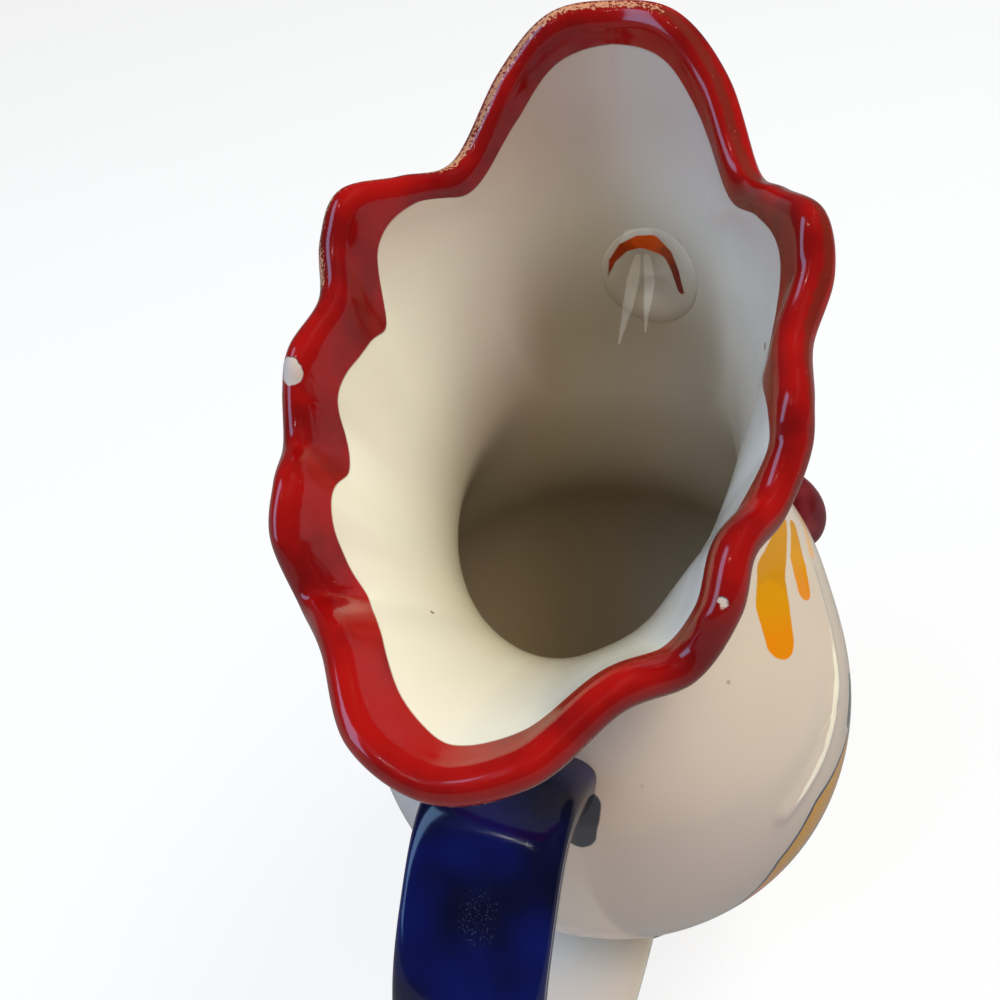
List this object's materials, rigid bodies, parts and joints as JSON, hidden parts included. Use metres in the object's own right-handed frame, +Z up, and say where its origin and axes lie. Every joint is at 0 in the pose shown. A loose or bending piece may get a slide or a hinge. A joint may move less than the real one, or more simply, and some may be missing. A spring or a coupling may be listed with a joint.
{
  "type": "chicken pitcher",
  "caption": "Glazed earthenware pitcher shaped as a hen: round belly on a low foot, ruffled red comb as the pouring mouth, hollow beak, wattles and a broad strap handle.",
  "frame": {"origin": "centre of the foot's flat underside, on the table", "axes": "+Z up, -Y towards the beak, +Y towards the handle, +X to the hen's left"},
  "size_m": [0.118, 0.1815, 0.2229],
  "materials": {
    "cream_glaze": "glossy cream-white glaze with painted strokes, specks and pinholes",
    "red_glaze": "glossy red glaze, worn orange at the edges",
    "maroon_glaze": "glossy maroon glaze",
    "yellow_glaze": "glossy yellow-orange glaze",
    "cobalt_glaze": "glossy cobalt-blue glaze, cream on its inner side"
  },
  "bodies": {
    "root": {"foot": "cream_glaze", "belly": "cream_glaze", "neck": "cream_glaze", "comb": "red_glaze", "beak": "yellow_glaze", "wattle_left": "maroon_glaze", "wattle_right": "maroon_glaze", "handle": "cobalt_glaze"}
  },
  "joints": []
}
